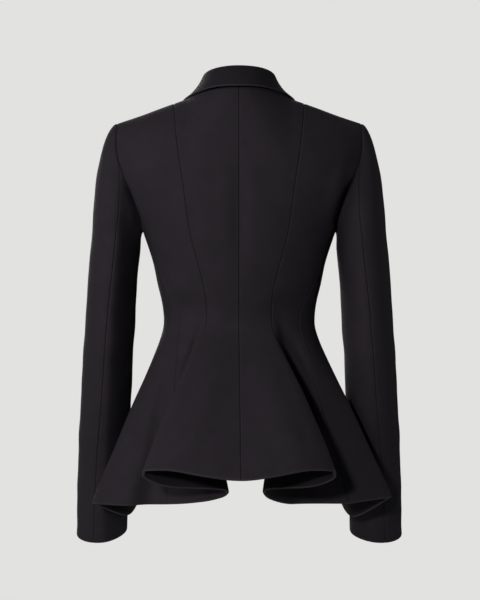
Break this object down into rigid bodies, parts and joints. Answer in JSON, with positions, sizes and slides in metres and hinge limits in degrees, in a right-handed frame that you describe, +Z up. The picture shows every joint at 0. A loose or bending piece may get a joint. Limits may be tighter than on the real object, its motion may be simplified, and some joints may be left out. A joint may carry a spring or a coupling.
{
  "type": "jacket",
  "caption": "Fitted jacket in matte black cloth with a notched collar, long tailored sleeves and a deep fluted peplum, hollow as it is worn.",
  "frame": {"origin": "middle of the base of the neck, level with the shoulder seams, where the wearer's shoulders hold the jacket up", "axes": "+Z up along the wearer's body, -Y the way the front faces, +X the wearer's left"},
  "size_m": [0.5232, 0.4494, 0.7449],
  "materials": {
    "cloth": "matte",
    "button": "satin"
  },
  "bodies": {
    "root": {"back_left": "cloth", "back_right": "cloth", "collar_fall": "cloth", "collar_stand": "cloth", "front_left": "cloth", "front_right": "cloth", "lapel_left": "cloth", "lapel_right": "cloth", "side_back_left": "cloth", "side_back_right": "cloth", "side_front_left": "cloth", "side_front_right": "cloth", "under_sleeve_left": "cloth", "under_sleeve_right": "cloth", "upper_sleeve_left": "cloth", "upper_sleeve_right": "cloth", "button": "button"}
  },
  "joints": []
}
